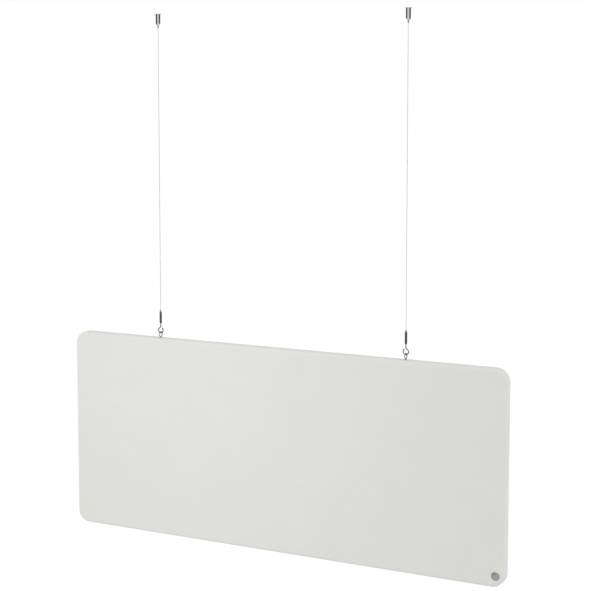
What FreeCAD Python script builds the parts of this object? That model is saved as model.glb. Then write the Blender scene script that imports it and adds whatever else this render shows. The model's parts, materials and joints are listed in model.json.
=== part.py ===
"""Hanging acoustic panel: a fabric-covered felt slab on two wire hangers, in millimetres, +Z up.

The origin lies on the ceiling, midway between the hangers. X runs along the panel, the front
faces -Y, and every piece lies at or below z = 0.
"""

import FreeCAD
import Part
import Sketcher
import math
import os

V = FreeCAD.Vector

# Driving dimensions
SIZES = {
    # Whole object
    "panel_length": 1400.0,
    "panel_height": 600.0,
    "panel_thick": 35.0,
    "corner_radius": 38.0,
    "edge_radius": 8.0,
    "hanger_spacing": 800.0,
    "drop": 963.0,
    # Fits
    "slip_gap": 0.05,
    "bond_gap": 0.1,
    "hang_gap": 0.3,
    # Cover, rail and eyes
    "cover_thick": 1.2,
    "cover_hole_gap": 0.15,
    "rail_overhang": 80.0,
    "rail_thick": 15.0,
    "rail_depth": 40.0,
    "insert_dia": 8.0,
    "insert_length": 18.0,
    "eye_dia": 18.0,
    "eye_wire": 2.8,
    "eye_rise": 1.0,
    "eye_shank": 4.0,
    # Badge
    "badge_dia": 23.5,
    "badge_rim": 1.4,
    "badge_crown": 1.4,
    "badge_from_end": 25.0,
    "badge_from_bottom": 32.0,
    "stud_dia": 4.0,
    "anchor_dia": 9.0,
    "anchor_length": 16.0,
    # Ceiling fitting
    "mount_bore": 5.0,
    "flange_dia": 20.0,
    "flange_thick": 1.6,
    "stub_dia": 10.0,
    "stub_length": 12.0,
    "barrel_dia": 13.8,
    "barrel_length": 27.4,
    "barrel_tip_dia": 7.8,
    "barrel_tip_length": 4.5,
    "barrel_mouth_dia": 6.4,
    "barrel_throat_dia": 4.0,
    "pivot_rise": 6.0,
    "ball_dia": 6.0,
    "seat_wall": 0.95,
    "seat_hole": 4.4,
    "seat_lip_angle": 5.0,
    "shank_dia": 3.2,
    "nipple_gap": 1.2,
    "nipple_dia": 4.6,
    "nipple_tip_dia": 2.6,
    "nipple_length": 7.3,
    # Wire and gripper
    "wire_dia": 1.5,
    "wire_tail": 3.0,
    "grip_dia": 6.8,
    "grip_length": 33.0,
    "grip_bore": 5.6,
    "grip_chamfer": 0.5,
    "nose_length": 4.0,
    "nose_tip_dia": 3.8,
    "cap_thread_length": 14.0,
    "cone_wide": 4.7,
    "cone_narrow": 3.4,
    "cone_length": 7.0,
    "collar_depth": 1.0,
    "collar_length": 1.0,
    "stem_dia": 2.6,
    "stem_hole": 1.7,
    "stem_reach": 3.5,
    "lock_ball_dia": 1.2,
    "follower_dia": 4.0,
    "follower_thick": 0.8,
    "spring_dia": 4.0,
    "spring_wire": 0.4,
    "spring_turns": 9,
    "spring_seat_thick": 1.0,
    "spring_seat_rise": 6.0,
    # Hook
    "hook_dia": 19.0,
    "hook_wire": 3.0,
    "hook_bend": 5.0,
    "hook_neck": 9.2,
    "hook_tip_dia": 4.6,
    "hook_tip_angle": 140.0,
    "head_dia": 4.7,
    "head_rise": 3.2,
    "head_bore": 4.9,
    "neck_hole": 4.1,
}

# Heights and positions that follow from them
PLACES = {
    "panel_top": "=-Size.drop",
    "panel_bottom": "=panel_top - Size.panel_height",
    "core_inset": "=Size.cover_thick + Size.bond_gap",
    "core_top": "=panel_top - core_inset",
    "hanger_x": "=Size.hanger_spacing / 2",
    "rail_length": "=Size.hanger_spacing + 2 * Size.rail_overhang",
    "barrel_top": "=-Size.flange_thick",
    "stub_bottom": "=barrel_top - Size.stub_length",
    "barrel_shoulder": "=barrel_top - Size.barrel_length",
    "barrel_bottom": "=barrel_shoulder - Size.barrel_tip_length",
    "pivot_z": "=barrel_bottom + Size.pivot_rise",
    "cup_radius": "=Size.ball_dia / 2 + Size.slip_gap",
    "seat_radius": "=cup_radius + Size.seat_wall",
    "socket_radius": "=seat_radius + Size.slip_gap",
    "nipple_top": "=barrel_bottom - Size.nipple_gap",
    "nipple_bottom": "=nipple_top - Size.nipple_length",
    "eye_z": "=panel_top + Size.eye_rise + Size.eye_dia / 2",
    "eye_radius": "=(Size.eye_dia - Size.eye_wire) / 2",
    "hook_bar_z": "=eye_z + eye_radius - Size.eye_wire / 2 - Size.hang_gap - Size.hook_wire / 2",
    "bow_radius": "=(Size.hook_dia - Size.hook_wire) / 2",
    "bow_z": "=hook_bar_z + bow_radius",
    "neck_z": "=bow_z + sqrt(bow_radius ^ 2 + 2 * bow_radius * Size.hook_bend)",
    "tip_x": "=bow_radius * cos(Size.hook_tip_angle)",
    "tip_z": "=bow_z + bow_radius * sin(Size.hook_tip_angle)",
    "grip_z": "=neck_z + Size.hook_neck",
    "head_z": "=grip_z + Size.head_rise",
    "grip_top": "=grip_z + Size.grip_length",
    "nose_top": "=grip_top + Size.nose_length",
    "stem_top": "=nose_top + Size.stem_reach",
    "cap_bottom": "=grip_top - Size.cap_thread_length",
    "cone_top": "=cap_bottom + Size.cone_length",
    "cone_slope": "=(Size.cone_wide - Size.cone_narrow) / 2 / Size.cone_length",
    "chamber_top": "=grip_top - Size.collar_depth",
    "collar_top": "=chamber_top - Size.slip_gap",
    "collar_bottom": "=collar_top - Size.collar_length",
    "lock_ball_orbit": "=Size.wire_dia / 2 + Size.slip_gap + Size.lock_ball_dia / 2",
    "lock_ball_room": "=(Size.lock_ball_dia / 2 + Size.slip_gap) * sqrt(1 + cone_slope ^ 2)",
    "lock_ball_z": "=cone_top - (lock_ball_orbit + lock_ball_room - Size.cone_narrow / 2) / cone_slope",
    "stem_bottom": "=lock_ball_z + Size.lock_ball_dia / 2 + Size.slip_gap",
    "follower_top": "=lock_ball_z - Size.lock_ball_dia / 2 - Size.slip_gap",
    "follower_bottom": "=follower_top - Size.follower_thick",
    "spring_seat_bottom": "=grip_z + Size.spring_seat_rise",
    "spring_seat_top": "=spring_seat_bottom + Size.spring_seat_thick",
    "wire_bottom": "=spring_seat_top + Size.wire_tail",
    "badge_x": "=Size.panel_length / 2 - Size.badge_from_end",
    "badge_z": "=panel_bottom + Size.badge_from_bottom",
    "badge_dome": "=((Size.badge_dia / 2) ^ 2 + Size.badge_crown ^ 2) / 2 / Size.badge_crown",
    "anchor_bottom": "=-core_inset - Size.anchor_length",
}

SIDES = {"left": -1, "right": 1}
LOCK_BALLS = 3
OVERCUT = 5.0

doc = FreeCAD.newDocument("HangingPanel")
pieces = []


def add_sheet(name, cells):
    """A spreadsheet with a label and an aliased value on each row."""
    sheet = doc.addObject("Spreadsheet::Sheet", name)
    for row, (alias, value) in enumerate(cells.items(), start=1):
        sheet.set(f"A{row}", alias)
        sheet.set(f"B{row}", str(value))
        sheet.setAlias(f"B{row}", alias)
    doc.recompute()
    return sheet


def bind(thing, **expressions):
    """Tie properties to the sheets; x, y and z stand for the position."""
    for path, expression in expressions.items():
        if path in ("x", "y", "z"):
            path = "Placement.Base." + path
        thing.setExpression(path, expression)
    return thing


def piece(label, thing):
    """Name a finished sub-part, which is then written to a file of that name."""
    thing.Label = label
    pieces.append(thing)
    return thing


def hang(label, thing, side):
    """Name a sub-part of a hanger and move it to that hanger's axis."""
    bind(thing, x=f"{SIDES[side]} * Place.hanger_x")
    return piece(f"{side}_{label}", thing)


def sketch_on(body, role):
    """An empty sketch on one of the body's own origin planes."""
    sketch = body.newObject("Sketcher::SketchObject", "Sketch")
    plane = next(part for part in body.Origin.OriginFeatures if part.Role == role)
    sketch.AttachmentSupport = [(plane, "")]
    sketch.MapMode = "FlatFace"
    return sketch


def fix(sketch, kind, expression, *where):
    """Add a dimension to a sketch and tie it to the sheets."""
    number = sketch.addConstraint(Sketcher.Constraint(kind, *where))
    sketch.setExpression(f"Constraints[{number}]", expression)


def polygon(body, role, corners):
    """A closed sketch whose corners are pairs of expressions."""
    sketch = sketch_on(body, role)
    count = len(corners)
    # Rough places on a parabola, so that no two corners meet before the dimensions are set
    start = [V(1 + number, number * number + 1, 0) for number in range(count)]
    for number in range(count):
        sketch.addGeometry(Part.LineSegment(start[number], start[(number + 1) % count]), False)
    for number, (across, up) in enumerate(corners):
        before = (number - 1) % count
        sketch.addConstraint(Sketcher.Constraint("Coincident", before, 2, number, 1))
        fix(sketch, "DistanceX", across, -1, 1, number, 1, start[number].x)
        fix(sketch, "DistanceY", up, -1, 1, number, 1, start[number].y)
    return sketch


def turned(name, half_section):
    """A body turned about Z from its half section, in pairs of radius and height."""
    body = doc.addObject("PartDesign::Body", name)
    section = polygon(body, "XZ_Plane", half_section)
    turn = body.newObject("PartDesign::Revolution", "Turn")
    turn.Profile = section
    turn.ReferenceAxis = (section, ["V_Axis"])
    turn.Angle = 360.0
    doc.recompute()
    return body


def ring(name, inner, outer, bottom, top):
    """A plain turned ring."""
    return turned(name, [(inner, bottom), (outer, bottom), (outer, top), (inner, top)])


def body_feature(body, kind, **expressions):
    """Add a primitive, such as a SubtractiveSphere, to a body."""
    feature = body.newObject("PartDesign::" + kind, kind)
    bind(feature, **expressions)
    doc.recompute()
    return feature


def solid(kind, **expressions):
    """A primitive of the Part workbench."""
    return bind(doc.addObject("Part::" + kind, kind), **expressions)


def join(things):
    """One object for several overlapping ones."""
    fused = doc.addObject("Part::MultiFuse", "Join")
    fused.Shapes = things
    return fused


def cut(base, *tools):
    """The base with the tools taken away."""
    result = doc.addObject("Part::Cut", "Cut")
    result.Base = base
    result.Tool = tools[0] if len(tools) == 1 else join(list(tools))
    return result


def ceiling_base(side):
    """Flanged stub on the ceiling, tapped for the ceiling's stud, which carries the barrel."""
    bore = "Size.mount_bore / 2"
    flange = "Size.flange_dia / 2"
    stub = "Size.stub_dia / 2"
    body = turned("CeilingBase", [
        (bore, "0"),
        (flange, "0"),
        (flange, "Place.barrel_top"),
        (stub, "Place.barrel_top"),
        (stub, "Place.stub_bottom"),
        (bore, "Place.stub_bottom"),
    ])
    hang("ceiling_base", body, side)


def ceiling_barrel(side):
    """Turned barrel screwed on the stub, with a round socket and a flared mouth at its tip."""
    outside = "Size.barrel_dia / 2"
    bore = "Size.stub_dia / 2 + Size.slip_gap"
    chamber = "Place.socket_radius + Size.slip_gap"
    body = turned("CeilingBarrel", [
        (bore, "Place.barrel_top"),
        (outside, "Place.barrel_top"),
        (outside, "Place.barrel_shoulder"),
        ("Size.barrel_tip_dia / 2", "Place.barrel_bottom"),
        ("Size.barrel_mouth_dia / 2", "Place.barrel_bottom"),
        ("Size.barrel_throat_dia / 2", "Place.pivot_z"),
        (chamber, "Place.pivot_z"),
        (chamber, "Place.stub_bottom - Size.slip_gap"),
        (bore, "Place.stub_bottom - Size.slip_gap"),
    ])
    body_feature(body, "SubtractiveSphere", Radius="Place.socket_radius", z="Place.pivot_z")
    hang("ceiling_barrel", body, side)


def seat_washer(side):
    """Round-backed washer that rocks in the barrel's socket and cups the terminal's ball."""
    zone = solid("Sphere", Radius="Place.seat_radius", Angle2="-Size.seat_lip_angle", z="Place.pivot_z")
    cup = solid("Sphere", Radius="Place.cup_radius", z="Place.pivot_z")
    hole = solid("Cylinder", Radius="Size.seat_hole / 2", Height="2 * Place.seat_radius",
                 z="Place.pivot_z - 2 * Place.seat_radius")
    hang("seat_washer", cut(zone, cup, hole), side)


def ball_terminal(side):
    """Ball with a shank and a tapered nipple below the barrel, swaged on the wire's upper end."""
    bore = "Size.wire_dia / 2 + Size.slip_gap"
    shank = "Size.shank_dia / 2"
    body = turned("BallTerminal", [
        (bore, "Place.nipple_bottom"),
        ("Size.nipple_tip_dia / 2", "Place.nipple_bottom"),
        ("Size.nipple_dia / 2", "Place.nipple_top"),
        (shank, "Place.nipple_top"),
        (shank, "Place.pivot_z"),
        (bore, "Place.pivot_z"),
    ])
    body_feature(body, "AdditiveSphere", Radius="Size.ball_dia / 2", z="Place.pivot_z")
    body_feature(body, "SubtractiveCylinder", Radius=bore, z="Place.nipple_bottom",
                 Height="Place.pivot_z - Place.nipple_bottom + Size.slip_gap")
    hang("ball_terminal", body, side)


def wire(side):
    """Straight steel wire from the terminal's ball down into the gripper."""
    rope = solid("Cylinder", Radius="Size.wire_dia / 2", Height="Place.pivot_z - Place.wire_bottom",
                 z="Place.wire_bottom")
    hang("wire", rope, side)


def gripper_body(side):
    """Tube of the gripper: bored from the top, with a round seat for the hook's head below."""
    outside = "Size.grip_dia / 2"
    bore = "Size.grip_bore / 2"
    head_bore = "Size.head_bore / 2"
    hole = "Size.neck_hole / 2"
    body = turned("GripperBody", [
        (hole, "Place.grip_z"),
        (f"{outside} - Size.grip_chamfer", "Place.grip_z"),
        (outside, "Place.grip_z + Size.grip_chamfer"),
        (outside, "Place.grip_top"),
        (bore, "Place.grip_top"),
        (bore, "Place.spring_seat_bottom"),
        (head_bore, "Place.spring_seat_bottom"),
        (head_bore, "Place.head_z"),
        (hole, "Place.head_z"),
    ])
    body_feature(body, "SubtractiveSphere", Radius="Size.head_dia / 2 + Size.slip_gap", z="Place.head_z")
    hang("gripper_body", body, side)


def gripper_cap(side):
    """Tapered nose screwed into the gripper, with the cone that wedges the lock balls."""
    thread = "Size.grip_bore / 2 - Size.slip_gap"
    narrow = "Size.cone_narrow / 2"
    stem = "Size.stem_dia / 2 + Size.slip_gap"
    body = turned("GripperCap", [
        (stem, "Place.nose_top"),
        ("Size.nose_tip_dia / 2", "Place.nose_top"),
        ("Size.grip_dia / 2", "Place.grip_top"),
        (thread, "Place.grip_top"),
        (thread, "Place.cap_bottom"),
        ("Size.cone_wide / 2", "Place.cap_bottom"),
        (narrow, "Place.cone_top"),
        (narrow, "Place.chamber_top"),
        (stem, "Place.chamber_top"),
    ])
    hang("gripper_cap", body, side)


def release_plunger(side):
    """Hollow stem round the wire: pressed down, it frees the lock balls from the cone."""
    hole = "Size.stem_hole / 2"
    stem = "Size.stem_dia / 2"
    collar = "Size.cone_narrow / 2 - Size.slip_gap"
    body = turned("ReleasePlunger", [
        (hole, "Place.stem_bottom"),
        (stem, "Place.stem_bottom"),
        (stem, "Place.collar_bottom"),
        (collar, "Place.collar_bottom"),
        (collar, "Place.collar_top"),
        (stem, "Place.collar_top"),
        (stem, "Place.stem_top"),
        (hole, "Place.stem_top"),
    ])
    hang("release_plunger", body, side)


def lock_balls(side):
    """Ring of small balls between the wire and the cone."""
    balls = []
    for number in range(LOCK_BALLS):
        angle = 360 * number / LOCK_BALLS
        balls.append(solid(
            "Sphere",
            Radius="Size.lock_ball_dia / 2",
            x=f"Place.lock_ball_orbit * cos({angle})",
            y=f"Place.lock_ball_orbit * sin({angle})",
            z="Place.lock_ball_z",
        ))
    group = doc.addObject("Part::Compound", "LockBalls")
    group.Links = balls
    hang("lock_balls", group, side)


def ball_follower(side):
    """Washer that carries the lock balls on the spring."""
    body = ring("BallFollower", "Size.stem_hole / 2", "Size.follower_dia / 2",
                "Place.follower_bottom", "Place.follower_top")
    hang("ball_follower", body, side)


def spring_seat(side):
    """Washer on the gripper's inner shoulder, under the spring."""
    body = ring("SpringSeat", "Size.stem_hole / 2", "Size.grip_bore / 2 - Size.slip_gap",
                "Place.spring_seat_bottom", "Place.spring_seat_top")
    hang("spring_seat", body, side)


def arc_edge(start, toward, end):
    """Circular edge from start to end whose end tangents meet at the point toward."""
    middle = (start + end) * 0.5
    half_chord = (end - start).Length / 2
    tangent_length = (toward - start).Length
    crown = middle + (toward - middle) * (half_chord / (half_chord + tangent_length))
    return Part.Arc(start, crown, end).toShape()


def helix_edges(radius, bottom, top, turns):
    """A helix about Z as pairs of arcs, one pair for each quarter turn."""
    quarters = 4 * int(turns)
    pitch_share = (top - bottom) / (2 * math.pi * turns)
    points = []
    headings = []
    for number in range(quarters + 1):
        angle = number * math.pi / 2
        points.append(V(radius * math.cos(angle), radius * math.sin(angle), bottom + pitch_share * angle))
        headings.append(V(-radius * math.sin(angle), radius * math.cos(angle), pitch_share).normalize())
    edges = []
    for number in range(quarters):
        start, end = points[number], points[number + 1]
        leave, arrive = headings[number], headings[number + 1]
        chord = end - start
        along = chord.dot(leave + arrive)
        bend = 2 * (1 - leave.dot(arrive))
        reach = (math.sqrt(along * along + bend * chord.dot(chord)) - along) / bend
        meet = (start + end + (leave - arrive) * reach) * 0.5
        edges.append(arc_edge(start, start + leave * reach, meet))
        edges.append(arc_edge(meet, end - arrive * reach, end))
    return edges, headings[0]


def grip_spring(side):
    """Coil spring that presses the follower and the lock balls up into the cone."""
    radius = (size.spring_dia - size.spring_wire) / 2
    end_gap = size.spring_wire / 2 + size.slip_gap
    bottom = place.spring_seat_top + end_gap
    top = place.follower_bottom - end_gap
    edges, heading = helix_edges(radius, bottom, top, size.spring_turns)
    turn_gap = (top - bottom) / size.spring_turns - size.spring_wire
    print(f"{side} spring: gap between turns {turn_gap:.2f} mm")
    round_wire = Part.Circle(V(radius, 0, bottom), heading, size.spring_wire / 2).toShape()
    coil = doc.addObject("Part::Feature", "GripSpring")
    coil.Shape = Part.Wire(edges).makePipeShell([Part.Wire([round_wire])], True, False)
    hang("grip_spring", coil, side)


def hook(side):
    """Open wire hook with an upset head that swivels in the gripper; it opens inwards."""
    body = doc.addObject("PartDesign::Body", "Hook")
    spine = sketch_on(body, "XZ_Plane")
    bow_start = math.radians(size.hook_tip_angle)
    join_angle = math.atan2(place.neck_z - place.bow_z, size.hook_bend)
    up = V(0, 0, 1)
    bend = Part.Circle(V(size.hook_bend, place.neck_z, 0), up, size.hook_bend)
    bow = Part.Circle(V(0, place.bow_z, 0), up, place.bow_radius)
    spine.addGeometry(Part.LineSegment(V(0, place.head_z, 0), V(0, place.neck_z, 0)), False)
    spine.addGeometry(Part.ArcOfCircle(bend, math.pi, math.pi + join_angle), False)
    spine.addGeometry(Part.ArcOfCircle(bow, bow_start, join_angle + 2 * math.pi), False)
    spine.addConstraint(Sketcher.Constraint("PointOnObject", 0, 1, -2))
    spine.addConstraint(Sketcher.Constraint("Vertical", 0))
    spine.addConstraint(Sketcher.Constraint("Tangent", 0, 2, 1, 1))
    spine.addConstraint(Sketcher.Constraint("Tangent", 1, 2, 2, 2))
    spine.addConstraint(Sketcher.Constraint("PointOnObject", 2, 3, -2))
    fix(spine, "DistanceY", "Place.head_z", -1, 1, 0, 1, place.head_z)
    fix(spine, "DistanceY", "Place.bow_z", -1, 1, 2, 3, place.bow_z)
    fix(spine, "DistanceY", "Place.tip_z", -1, 1, 2, 1, place.tip_z)
    fix(spine, "Radius", "Size.hook_bend", 1, size.hook_bend)
    fix(spine, "Radius", "Place.bow_radius", 2, place.bow_radius)

    section = sketch_on(body, "XY_Plane")
    section.setExpression("AttachmentOffset.Base.z", "Place.head_z")
    section.addGeometry(Part.Circle(V(0, 0, 0), up, size.hook_wire / 2), False)
    section.addConstraint(Sketcher.Constraint("Coincident", 0, 3, -1, 1))
    fix(section, "Radius", "Size.hook_wire / 2", 0, size.hook_wire / 2)
    doc.recompute()

    pipe = body.newObject("PartDesign::AdditivePipe", "Bent")
    pipe.Profile = section
    pipe.Spine = (spine, ["Edge1", "Edge2", "Edge3"])
    doc.recompute()
    body_feature(body, "AdditiveSphere", Radius="Size.head_dia / 2", z="Place.head_z")
    body_feature(body, "AdditiveSphere", Radius="Size.hook_tip_dia / 2", x="Place.tip_x", z="Place.tip_z")
    if SIDES[side] < 0:
        body.Placement.Rotation = FreeCAD.Rotation(up, 180)
    hang("hook", body, side)


def eye(side):
    """Screw eye in the panel's top edge, square to the hook."""
    loop = solid("Torus", Radius1="Place.eye_radius", Radius2="Size.eye_wire / 2")
    loop.Placement.Rotation = FreeCAD.Rotation(V(0, 1, 0), 90)
    bind(loop, z="Place.eye_z")
    shank_length = "(Place.core_inset + Size.insert_length)"
    shank = solid("Cylinder", Radius="Size.eye_shank / 2", z=f"Place.panel_top - {shank_length}",
                  Height=f"{shank_length} + Size.eye_rise + Size.eye_wire / 2")
    hang("eye", join([loop, shank]), side)


def eye_insert(side):
    """Threaded bush in the rail that holds the eye."""
    body = ring("EyeInsert", "Size.eye_shank / 2 + Size.slip_gap", "Size.insert_dia / 2",
                "Place.core_top - Size.insert_length", "Place.core_top")
    hang("eye_insert", body, side)


def hanger_cylinders(radius, bottom, top):
    """One upright cylinder on each hanger's axis."""
    return [
        solid("Cylinder", Radius=radius, Height=f"{top} - ({bottom})", z=bottom, x=f"{sign} * Place.hanger_x")
        for sign in SIDES.values()
    ]


def centred_box(length, thick, bottom, top):
    """A box about the middle of the panel, from one height to another."""
    return solid("Box", Length=length, Width=thick, Height=f"{top} - ({bottom})",
                 x=f"-({length}) / 2", y=f"-({thick}) / 2", z=bottom)


def hanging_rail():
    """Timber batten along the top of the core, which spreads the load of the eyes."""
    batten = centred_box("Place.rail_length", "Size.rail_thick",
                         "Place.core_top - Size.rail_depth", "Place.core_top")
    holes = hanger_cylinders("Size.insert_dia / 2 + Size.slip_gap", "Place.core_top - Size.insert_length",
                             f"Place.core_top + {OVERCUT}")
    piece("hanging_rail", cut(batten, *holes))


def slab(name, inset):
    """The panel's rounded envelope, drawn in by inset on every side."""
    body = doc.addObject("PartDesign::Body", name)
    half = f"(Size.panel_length / 2 - {inset})"
    top = f"Place.panel_top - {inset}"
    bottom = f"Place.panel_bottom + {inset}"
    face = polygon(body, "XZ_Plane", [(f"-{half}", bottom), (half, bottom), (half, top), (f"-{half}", top)])
    pad = body.newObject("PartDesign::Pad", "Pad")
    pad.Profile = face
    pad.SideType = "Symmetric"
    bind(pad, Length=f"Size.panel_thick - 2 * {inset}")
    doc.recompute()
    base = pad
    for step, through, radius in (("Corners", True, "corner_radius"), ("Edges", False, "edge_radius")):
        chosen = [
            f"Edge{number}"
            for number, edge in enumerate(base.Shape.Edges, start=1)
            if (edge.BoundBox.YLength > size.slip_gap) == through
        ]
        rounding = body.newObject("PartDesign::Fillet", step)
        rounding.Base = (base, chosen)
        bind(rounding, Radius=f"Size.{radius} - {inset}")
        doc.recompute()
        base = rounding
    return body


def face_cylinder(radius, bottom, top):
    """A cylinder square to the panel's front face, at the badge, from one depth to another."""
    rod = solid("Cylinder", Radius=radius, Height=f"{top} - ({bottom})")
    rod.Placement.Rotation = FreeCAD.Rotation(V(1, 0, 0), 90)
    return bind(rod, x="Place.badge_x", y=f"-Size.panel_thick / 2 - ({bottom})", z="Place.badge_z")


def felt_core():
    """Felt slab that absorbs the sound, with a slot for the rail and a hole for the badge's anchor."""
    blank = slab("FeltBlank", "Place.core_inset")
    slot = centred_box("Place.rail_length + 2 * Size.bond_gap", "Size.rail_thick + 2 * Size.bond_gap",
                       "Place.core_top - Size.rail_depth - Size.bond_gap", f"Place.core_top + {OVERCUT}")
    hole = face_cylinder("Size.anchor_dia / 2 + Size.bond_gap", "Place.anchor_bottom - Size.bond_gap", "0")
    piece("felt_core", cut(blank, slot, hole))


def covers():
    """Front and rear fabric covers, which meet in a seam round the middle of the edge."""
    skin = cut(slab("Envelope", "0"), slab("CoverHollow", "Size.cover_thick"))
    eye_holes = hanger_cylinders("Size.eye_shank / 2 + Size.cover_hole_gap",
                                 "Place.core_top", f"Place.panel_top + {OVERCUT}")
    stud_hole = face_cylinder("Size.stud_dia / 2 + Size.cover_hole_gap", "-Place.core_inset", f"{OVERCUT}")
    for label, shift, holes in (("front_cover", 0, eye_holes + [stud_hole]), ("rear_cover", -1, eye_holes)):
        other_half = centred_box("2 * Size.panel_length", "Size.panel_thick",
                                 "2 * Place.panel_bottom", "0")
        bind(other_half, y=f"{shift} * Size.panel_thick")
        piece(label, cut(skin, other_half, *holes))


def badge():
    """Plain domed button on the lower right corner of the front, with a stud behind it."""
    rim_and_crown = "(Size.badge_rim + Size.badge_crown)"
    disc = face_cylinder("Size.badge_dia / 2", "0", rim_and_crown)
    stud = face_cylinder("Size.stud_dia / 2", "Place.anchor_bottom", "Size.badge_rim / 2")
    dome = solid("Sphere", Radius="Place.badge_dome", x="Place.badge_x", z="Place.badge_z",
                 y=f"-Size.panel_thick / 2 - {rim_and_crown} + Place.badge_dome")
    button = doc.addObject("Part::Common", "Button")
    button.Base = join([disc, stud])
    button.Tool = dome
    piece("badge", button)


def badge_anchor():
    """Plug bedded in the core that grips the badge's stud."""
    plug = face_cylinder("Size.anchor_dia / 2", "Place.anchor_bottom", "-Place.core_inset")
    bore = face_cylinder("Size.stud_dia / 2 + Size.slip_gap", "Place.anchor_bottom", "0")
    piece("badge_anchor", cut(plug, bore))


def check_and_write():
    """Stop on any failed object, then write each sub-part to its own file."""
    doc.recompute()
    for thing in doc.Objects:
        if "Invalid" in thing.State or "Error" in thing.State:
            raise RuntimeError(f"{thing.Name} ({thing.Label}) failed: {thing.State}")
    for thing in pieces:
        if thing.Shape.isNull() or not thing.Shape.isValid() or thing.Shape.Volume <= 0:
            raise RuntimeError(f"{thing.Label} has no valid solid")
    os.makedirs("parts", exist_ok=True)
    for thing in pieces:
        thing.Shape.exportStep(f"parts/{thing.Label}.step")
    print(f"{len(pieces)} sub-parts written")


size = add_sheet("Size", SIZES)
place = add_sheet("Place", PLACES)
HANGER_PIECES = (
    ceiling_base,
    ceiling_barrel,
    seat_washer,
    ball_terminal,
    wire,
    gripper_body,
    gripper_cap,
    release_plunger,
    lock_balls,
    ball_follower,
    spring_seat,
    grip_spring,
    hook,
    eye,
    eye_insert,
)
for hanger_side in SIDES:
    for make_piece in HANGER_PIECES:
        make_piece(hanger_side)
hanging_rail()
felt_core()
covers()
badge()
badge_anchor()
check_and_write()
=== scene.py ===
"""Hanging acoustic panel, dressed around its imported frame.

Lengths are in metres and the axes are the frame's: X along the panel, the front faces -Y, Z up.
"""

import json
import math
import statistics

import bmesh
import bpy
from bpy.props import FloatProperty, FloatVectorProperty, IntProperty, PointerProperty
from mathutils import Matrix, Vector, noise


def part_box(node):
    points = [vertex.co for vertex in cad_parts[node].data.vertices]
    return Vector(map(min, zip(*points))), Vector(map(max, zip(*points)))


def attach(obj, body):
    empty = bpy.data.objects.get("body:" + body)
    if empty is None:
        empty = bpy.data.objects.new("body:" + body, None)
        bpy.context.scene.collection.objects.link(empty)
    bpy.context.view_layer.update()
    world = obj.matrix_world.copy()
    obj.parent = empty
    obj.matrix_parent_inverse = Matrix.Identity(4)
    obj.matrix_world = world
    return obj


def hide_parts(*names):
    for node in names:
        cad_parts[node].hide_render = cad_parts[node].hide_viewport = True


bl_info = {
    "name": "Hanging Acoustic Panel",
    "version": (1, 0, 0),
    "blender": (4, 5, 0),
    "location": "3D View > Sidebar > Hanging Panel",
    "description": "Dresses a wire-hung sound panel with cloth, rope and metal finishes",
    "category": "Object",
}

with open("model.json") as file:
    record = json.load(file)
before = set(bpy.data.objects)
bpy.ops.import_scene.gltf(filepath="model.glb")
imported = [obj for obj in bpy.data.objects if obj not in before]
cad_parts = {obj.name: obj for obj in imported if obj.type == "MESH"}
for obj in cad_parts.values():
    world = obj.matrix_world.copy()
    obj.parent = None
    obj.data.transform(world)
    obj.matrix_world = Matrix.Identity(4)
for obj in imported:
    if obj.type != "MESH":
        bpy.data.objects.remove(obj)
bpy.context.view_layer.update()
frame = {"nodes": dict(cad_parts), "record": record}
NODES = frame["nodes"]
SIDES = ("left", "right")
SLOT_OF = {subpart["node"]: subpart["material_slot"] for subpart in frame["record"]["subparts"]}
BODY_OF = {
    node: body
    for body, nodes in frame["record"]["behaviour"]["bodies"].items()
    for node in nodes
}

# Places taken from the frame
FRONT_LOW, FRONT_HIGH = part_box("front_cover")
HALF_LENGTH = FRONT_HIGH.x
HALF_THICK = -FRONT_LOW.y
PANEL_MIDDLE_Z = (FRONT_LOW.z + FRONT_HIGH.z) / 2
HALF_HEIGHT = (FRONT_HIGH.z - FRONT_LOW.z) / 2
HANGER_X = {side: sum(corner.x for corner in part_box(f"{side}_wire")) / 2 for side in SIDES}
WIRE_BOTTOM, WIRE_TOP = (corner.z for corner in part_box("left_wire"))

# Weave: squeeze of the tone along a thread, and the height and amount of the painted shade in the gaps
# between threads
TONE_SQUEEZE = 0.04
GAP_HEIGHT = 0.8
GAP_SHADE = 0.10

# Rope: points in one turn of a strand, the lead at each end in diameters, and the spline's steps
TURN_POINTS = 12
LEAD_DIAMETERS = 6
ROUTE_STEPS = 12

# Covers: rows of cloth by their depth from the seam and their inset on the face, then steps and grid
SIDE_DEPTHS = (0.0, 0.0003, 0.0006, 0.001, 0.0015, 0.0022, 0.0035, 0.006)
FACE_INSETS = (0.012, 0.018, 0.027)
BEND_STEPS = 8
CORNER_STEPS = 12
FACE_GRID = 0.010

# How far the seam's pull reaches along the side, and how far from the edge the ripple is whole
SEAM_REACH = 0.0011
RIPPLE_FADE = 0.06

# Cloth round a screw eye: places beside it, reach and depth of its dip, and what counts as facing up
EYE_STEPS = (-0.007, -0.004, -0.0022, 0.0, 0.0022, 0.004, 0.007)
DIP_REACH = 0.004
DIP_DEPTH = 0.003
FACING_UP = 0.99

# Seam: spacing of the places on its line; a stitch's thickness is a share of its length, and its
# sink is a share of the seam's depth
SEAM_GRID = 0.05
STITCH_THICKNESS = 0.2
STITCH_SINK = 0.75
STITCH_LEAN = math.radians(25)

# Eased edges: what merges, what counts as sharp, the breadth of face that a full easing takes, in
# widths of the easing, and the least share of a full easing that is made
MERGE_DISTANCE = 1e-6
FLAT_ANGLE = math.radians(0.5)
SHARP_ANGLE = math.radians(50)
EASING_ROOM = 2.4
LEAST_EASING = 0.25

# Screw eye: steps up its shank and through its neck, degrees round its ring, and the spline's steps
SHANK_STEP = 0.012
NECK_BELOW = 0.001
NECK_ABOVE = 0.0006
RING_DEGREES = range(-65, 256, 16)
BENT_WIRE_STEPS = 6

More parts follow.
